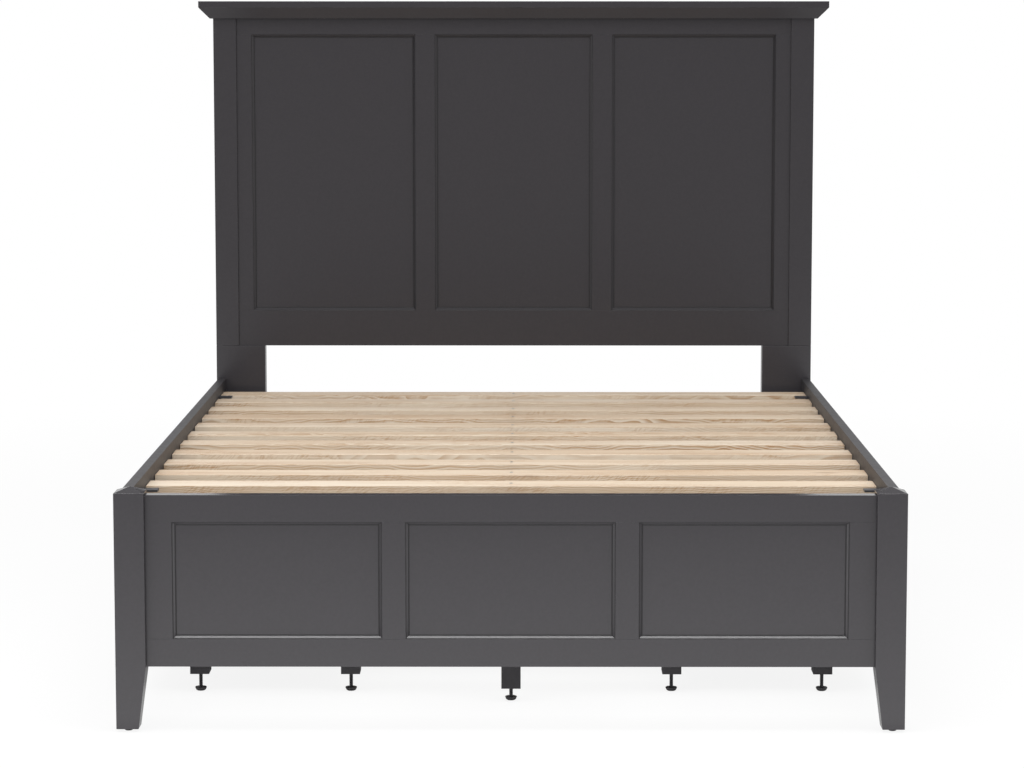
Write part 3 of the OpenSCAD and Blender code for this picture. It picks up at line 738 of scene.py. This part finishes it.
def make_bracket_fasteners(materials):
    """Bolts of the corner brackets, and screws of the deck brackets and beam hangers."""
    low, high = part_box("steel_brackets")
    bolts, screws = [], []
    for side in (-1, 1):
        bolts += corner_bolts(side, low.z)
        screws += deck_screws(side, high.z) + hanger_screws(side)
    copies("bracket_bolts", socket_bolt(12 * MM), bolts, "bed", "black_steel", materials)
    screw = domed_screw(6.5 * MM, 2.3 * MM)
    copies("bracket_screws", screw, screws, "bed", "black_steel", materials)


# Fasteners of the carcasses, the ledges and the drawers
FLUSH_SINK = 0.2 * MM  # from a face to the flush screws in it
PAN_HEAD = (7 * MM, 2.4 * MM)  # diameter and height
STRETCHER_SCREWS = (42 * MM, 420 * MM)  # from a carcass's back
STRETCHER_DOWN = 7 * MM  # from the ledges to the stretchers' middle
FLOOR_SCREWS = (75 * MM, 225 * MM, 375 * MM)  # from a carcass's back
FLOOR_UP = 26 * MM  # from the rails' lower edge to the middle of a carcass's floor
LEDGE_WIDTH = 35 * MM
LEDGE_SCREWS = 9
STEEL = 1.5 * MM
RUNNER_WIDTH = 13 * MM
SLIDER_GAP = 5 * MM  # from a bay's wall to the sliding half of a runner
RUNNER_SCREW_IN = 30 * MM  # from a runner's end
SLIDER_SHIFT = 18 * MM  # from the tracks' screws to those of the sliding halves
BOX_BOARD = 12 * MM
BOX_SCREW_EDGE = 20 * MM  # from a drawer box's top and bottom to its screws
FRONT_SCREW_YS = (-200 * MM, 200 * MM)
FRONT_SCREW_ZS = (-45 * MM, 45 * MM)


def carcass_screws(side):
    """Places of the screws through a carcass's two end boards."""
    low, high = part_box("carcass_right")
    points = [(x, LEDGES_LOW.z - STRETCHER_DOWN) for x in STRETCHER_SCREWS]
    points += [(x, RAIL_BOTTOM + FLOOR_UP) for x in FLOOR_SCREWS]
    return [
        facing((side * (low.x + x), y, z), (0, way, 0))
        for y, way in ((low.y, -1), (high.y, 1)) for x, z in points
    ]


def ledge_screws(side):
    """Places of the screws through a ledge into its side rail."""
    face, z = side * (RAIL_X - LEDGE_WIDTH), (LEDGES_LOW.z + LEDGES_HIGH.z) / 2
    ys = spread(LEDGES_LOW.y, LEDGES_HIGH.y, LEDGE_SCREWS)
    return [facing((face, y, z), (-side, 0, 0)) for y in ys]


def runners_of(number):
    """A drawer's side, and its runners' screws in X, the bay's walls in Y and their height."""
    low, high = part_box("drawer_runners_%d" % number)
    side = 1 if low.x > 0 else -1
    near, far = sorted((abs(low.x), abs(high.x)))
    xs = (near + RUNNER_SCREW_IN, (near + far) / 2, far - RUNNER_SCREW_IN)
    walls = (low.y - SLIDER_GAP, high.y + SLIDER_GAP)
    return side, [side * x for x in xs], walls, (low.z + high.z) / 2


def track_screws(number):
    """Places of the screws of the fixed halves of a drawer's runners."""
    _, xs, walls, z = runners_of(number)
    return [
        facing((x, y + way * STEEL, z), (0, way, 0))
        for y, way in zip(walls, (1, -1)) for x in xs
    ]


def make_carcass_fasteners(materials):
    """Screws of the carcass boards, the ledges and the fixed halves of the runners."""
    raised = [place for number in DRAWERS for place in track_screws(number)]
    flush = [place for side in (-1, 1) for place in carcass_screws(side) + ledge_screws(side)]
    copies("track_screws", domed_screw(*PAN_HEAD), raised, "bed", "zinc_steel", materials)
    screw = countersunk_screw(7 * MM, FLUSH_SINK)
    copies("carcass_screws", screw, flush, "bed", "zinc_steel", materials)


def box_screws(number):
    """Places of the flush screws at the corners of a drawer's box."""
    side, _, walls, _ = runners_of(number)
    low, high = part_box("drawer_box_%d" % number)
    back = min(abs(low.x), abs(high.x))
    xs = (side * (back + BOX_BOARD / 2), side * (RAIL_X - BOX_BOARD / 2))
    zs = (low.z + BOX_SCREW_EDGE, high.z - BOX_SCREW_EDGE)
    return [
        facing((x, y - way * RUNNER_WIDTH, z), (0, way, 0))
        for y, way in zip(walls, (-1, 1)) for x in xs for z in zs
    ]


def pan_screws(number):
    """Places of the raised screws of a drawer's sliding runners, and of its front."""
    side, xs, walls, z = runners_of(number)
    places = []
    for y, way in zip(walls, (-1, 1)):
        face = y - way * (RUNNER_WIDTH - STEEL)
        places += [facing((x + side * SLIDER_SHIFT, face, z), (0, way, 0)) for x in xs[:2]]
    inside, middle = side * (RAIL_X - BOX_BOARD), sum(walls) / 2
    return places + [
        facing((inside, middle + dy, z + dz), (-side, 0, 0))
        for dy in FRONT_SCREW_YS for dz in FRONT_SCREW_ZS
    ]


def make_drawer_fasteners(materials):
    """Screws of each drawer box, of its front and of its sliding runners."""
    for number in DRAWERS:
        body = "drawer_%d" % number
        flush, raised = countersunk_screw(6 * MM, FLUSH_SINK), domed_screw(*PAN_HEAD)
        copies(body + "_box_screws", flush, box_screws(number), body, "zinc_steel", materials)
        copies(body + "_pan_screws", raised, pan_screws(number), body, "zinc_steel", materials)


# Levelling feet with real threads in place of the CAD's plain rods
THREAD_RADIUS = 4.0 * MM
THREAD_DEPTH = 0.7 * MM
THREAD_PITCH = 1.25 * MM
THREAD_STEPS = 20
# Radius and height of the pad's outline, in mm, up to the rod's core
PAD_OUTLINE = [
    (0, 0), (8, 0), (10.25, 1.5), (12.5, 6), (12.5, 7), (12.2, 7.7), (11.5, 8), (3.2, 8),
]
CORE_RADIUS = 3.2 * MM
PLAIN_END = 1.6 * MM
THREAD_LOW = 7.2 * MM
THREAD_RUNOUT = 1.2 * MM  # of the thread into the rod's plain end
FLANGE_RADIUS = 11 * MM
FLANGE = 1.5 * MM
FLANGE_HOLE = 4.4 * MM
MIDDLE_ROW = 100 * MM  # feet nearer to the middle than this stand under the centre legs


def add_thread(shape, low, high):
    """Winds a thread about Z between two heights."""
    root = THREAD_RADIUS - THREAD_DEPTH
    section = [(root, 0.0), (root, 0.14), (THREAD_RADIUS, 0.5), (THREAD_RADIUS, 0.64)]
    rows = []
    for k in range(int((high - low) / THREAD_PITCH * THREAD_STEPS)):
        turn = 2 * math.pi * k / THREAD_STEPS
        foot = low + THREAD_PITCH * k / THREAD_STEPS
        rows.append([
            shape.verts.new((r * math.cos(turn), r * math.sin(turn), foot + up * THREAD_PITCH))
            for r, up in section
        ])
    for k in range(len(rows) - THREAD_STEPS - 1):
        here = rows[k] + rows[k + THREAD_STEPS][:1]
        there = rows[k + 1] + rows[k + 1 + THREAD_STEPS][:1]
        for i in range(len(section)):
            shape.faces.new([here[i], there[i], there[i + 1], here[i + 1]])


def threaded_foot(top):
    """A levelling foot: a rounded pad, and an M8 rod up to a height."""
    pad = [(r * MM, z * MM) for r, z in PAD_OUTLINE]
    neck = top - PLAIN_END
    rod = [
        (CORE_RADIUS, neck), (THREAD_RADIUS, neck), (THREAD_RADIUS, top - MM), (3 * MM, top),
        (0, top),
    ]
    shape = bmesh.new()
    turned = lathe(pad + rod)
    shape.from_mesh(turned)
    bpy.data.meshes.remove(turned)
    add_thread(shape, THREAD_LOW, neck + THREAD_RUNOUT)
    return to_mesh(shape, "threaded_foot")


def nut_flange():
    """The flange of a nut in a leg block, with its hole, from Z 0 down."""
    hole = lathe([
        (0, -2 * FLANGE), (FLANGE_HOLE, -2 * FLANGE), (FLANGE_HOLE, FLANGE), (0, FLANGE),
    ])
    disc = lathe([
        (0, -FLANGE), (FLANGE_RADIUS - 0.4 * MM, -FLANGE), (FLANGE_RADIUS, -0.4 * FLANGE),
        (FLANGE_RADIUS, 0), (0, 0),
    ])
    return carved(disc, hole)


def make_feet(materials):
    """The threaded feet, and the flanges of the nuts in the leg blocks above them."""
    side_z, middle_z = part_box("carcass_left")[0].z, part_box("center_legs")[0].z
    flanges = []
    for name in FEET:
        low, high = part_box(name)
        x, y = (low.x + high.x) / 2, (low.y + high.y) / 2
        mesh, here = threaded_foot(high.z), [Matrix.Translation((x, y, 0))]
        foot = copies(name + "_threaded", mesh, here, name, "black_steel", materials)
        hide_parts(name)
        flanges.append(Matrix.Translation((x, y, middle_z if abs(x) < MIDDLE_ROW else side_z)))
    copies("leg_nut_flanges", nut_flange(), flanges, "bed", "black_steel", materials)


# Studio
KEY_POWER = 60.0
KEY_SIZE = (4.0, 1.2)
KEY_PLACE = (0.0, -1.4, 4.2)
KEY_SPREAD = 120.0  # degrees
FILL_POWER = 145.0
FILL_SIZE = (6.0, 3.0)
FILL_PLACE = (-1.0, -6.0, 2.2)
FILL_TARGET = (0.0, -1.0, 0.5)
WORLD_LIGHT = 0.8
WHITE = (1.0, 1.0, 1.0, 1.0)
# Brightness of the surround in reflections: of the dark room at the horizon and overhead,
# and of the white backdrop, which fades in by the direction's Y and out by its Z
GLOSS_LEVEL = 0.08
GLOSS_ABOVE = 0.5
GLOSS_BACKDROP = 1.0
FRONT_FADE = (-0.6, 0.1)
BACKDROP_FADE = (0.2, 0.7)
FLOOR_SIZE = 60.0
FLOOR_COLOUR = (0.82, 0.82, 0.82, 1.0)
# Share of plain white in what the camera sees of the floor, near the bed and far off
FLOOR_WHITE = (0.88, 1.0)
FLOOR_FADE = (1.4, 4.5)
BED_HALF = (0.8, 1.09, 0.0)  # half the bed's outline on the floor
# The floor's brightness in reflections, a painted glow: SIDE_GLOSS beside and behind the bed, and
# in front of it a level above plain white that falls with the distance. SIDE_FADE lies between the
# two.
SIDE_GLOSS = 0.6
SIDE_FADE = (1.0, 1.2)
FLOOR_GLOSS = (1.6, 0.35)
GLOSS_FADE = (1.2, 5.0)
# Share of that brightness in reflections under the bed and outside its outline
UNDER_GLOSS = (0.1, 1.0)
UNDER_FADE = (-0.25, 0.05)


def beyond_bed(tree, place):
    """Distance of a floor point from the bed's outline, below 0 under the bed."""
    x, y, _ = tree.parts(tree.vector("SUBTRACT", tree.vector("ABSOLUTE", place), BED_HALF))
    return tree.math("MAXIMUM", x, y)


def make_world():
    """An even pale surround, white where the camera sees it."""
    world = bpy.data.worlds.new("studio")
    bpy.context.scene.world = world
    tree = Tree(world)
    path = tree.add("LightPath").outputs
    _, y, z = tree.parts(tree.add("TexCoord").outputs["Generated"])
    above = tree.span(z, 0.0, 1.0, GLOSS_LEVEL, GLOSS_ABOVE)
    backdrop = tree.span(z, *BACKDROP_FADE, GLOSS_BACKDROP, 0.0)
    backdrop = tree.math("MULTIPLY", tree.span(y, *FRONT_FADE), backdrop)
    gloss = tree.math("MAXIMUM", above, backdrop)
    strength = tree.between(path["Is Glossy Ray"], WORLD_LIGHT, gloss)
    strength = tree.math("MAXIMUM", strength, path["Is Camera Ray"])
    strength = tree.math("MAXIMUM", strength, path["Is Transmission Ray"])
    sky = tree.add("Background", {"Color": WHITE, "Strength": strength})
    tree.add("OutputWorld", {"Surface": sky.outputs[0]})


def floor_material():
    """Matt pale floor, mixed with plain white where the camera sees it, and with a painted glow
    where a reflection sees it, brighter than white in front of the bed.
    """
    tree = Tree(bpy.data.materials.new("pale_floor"))
    place = tree.add("NewGeometry").outputs["Position"]
    path = tree.add("LightPath").outputs
    mirrored = path["Is Glossy Ray"]
    seen = tree.math("MAXIMUM", path["Is Camera Ray"], path["Is Transmission Ray"])
    away = tree.span(tree.length(place), *FLOOR_FADE, *FLOOR_WHITE)
    under = tree.span(beyond_bed(tree, place), *UNDER_FADE, *UNDER_GLOSS)
    share = tree.between(mirrored, tree.math("MULTIPLY", seen, away), under)
    ahead = tree.math("MULTIPLY", tree.parts(place)[1], -1.0)
    gloss = tree.math(
        "MINIMUM", tree.span(ahead, *GLOSS_FADE, *FLOOR_GLOSS),
        tree.span(ahead, *SIDE_FADE, SIDE_GLOSS, FLOOR_GLOSS[0]),
    )
    strength = tree.between(mirrored, 1.0, gloss)
    matt = tree.add("BsdfDiffuse", {"Color": FLOOR_COLOUR}).outputs[0]
    white = tree.add("Emission", {"Color": WHITE, "Strength": strength}).outputs[0]
    mixed = tree.add("MixShader", {0: share, 1: matt, 2: white}).outputs[0]
    tree.add("OutputMaterial", {"Surface": mixed})
    return tree.owner


def make_floor():
    """A pale floor that the camera sees nearly white, with the bed's soft shadow on it."""
    half = FLOOR_SIZE / 2
    corners = [(-half, -half, 0), (half, -half, 0), (half, half, 0), (-half, half, 0)]
    mesh = bpy.data.meshes.new("floor")
    mesh.from_pydata(corners, [], [(0, 1, 2, 3)])
    floor = bpy.data.objects.new("floor", mesh)
    bpy.context.scene.collection.objects.link(floor)
    mesh.materials.append(floor_material())


def make_light(name, power, size, place, target):
    """A rectangular soft light that faces a target."""
    data = bpy.data.lights.new(name, "AREA")
    data.shape = "RECTANGLE"
    data.energy = power
    data.size, data.size_y = size
    light = bpy.data.objects.new(name, data)
    bpy.context.scene.collection.objects.link(light)
    light.location = place
    light.rotation_euler = (Vector(target) - Vector(place)).to_track_quat("-Z", "Y").to_euler()
    return light


def make_studio():
    """The surround, the floor, a long light overhead and a soft one in front."""
    make_world()
    make_floor()
    key = make_light("key", KEY_POWER, KEY_SIZE, KEY_PLACE, (*KEY_PLACE[:2], 0))
    key.data.spread = math.radians(KEY_SPREAD)
    fill = make_light("front_fill", FILL_POWER, FILL_SIZE, FILL_PLACE, FILL_TARGET)
    fill.visible_glossy = False


# Camera: level lines of the photograph solved by least squares for a camera without shift
CAMERA_PLACE = (0.025, -7.280, 1.4135)
CAMERA_TILT = 6.469  # degrees below the horizon
CAMERA_TURN = 0.202  # degrees towards -X
FOCAL_PIXELS = 3109.1
PICTURE_WIDTH = 1024
SENSOR = 36.0


def make_camera():
    """The photograph's viewing angle, from in front of the footboard."""
    data = bpy.data.cameras.new("camera")
    data.sensor_width = SENSOR
    data.lens = SENSOR * FOCAL_PIXELS / PICTURE_WIDTH
    camera = bpy.data.objects.new("camera", data)
    bpy.context.scene.collection.objects.link(camera)
    camera.location = CAMERA_PLACE
    camera.rotation_euler = (math.radians(90 - CAMERA_TILT), 0.0, math.radians(CAMERA_TURN))
    bpy.context.scene.camera = camera


bpy.context.scene.view_settings.view_transform = "Standard"
finishes = make_materials()
finish_nodes(finishes)
make_painted_quirk_shadows(finishes)
make_slat_fasteners(finishes)
make_bracket_fasteners(finishes)
make_carcass_fasteners(finishes)
make_drawer_fasteners(finishes)
make_feet(finishes)
make_studio()
make_camera()
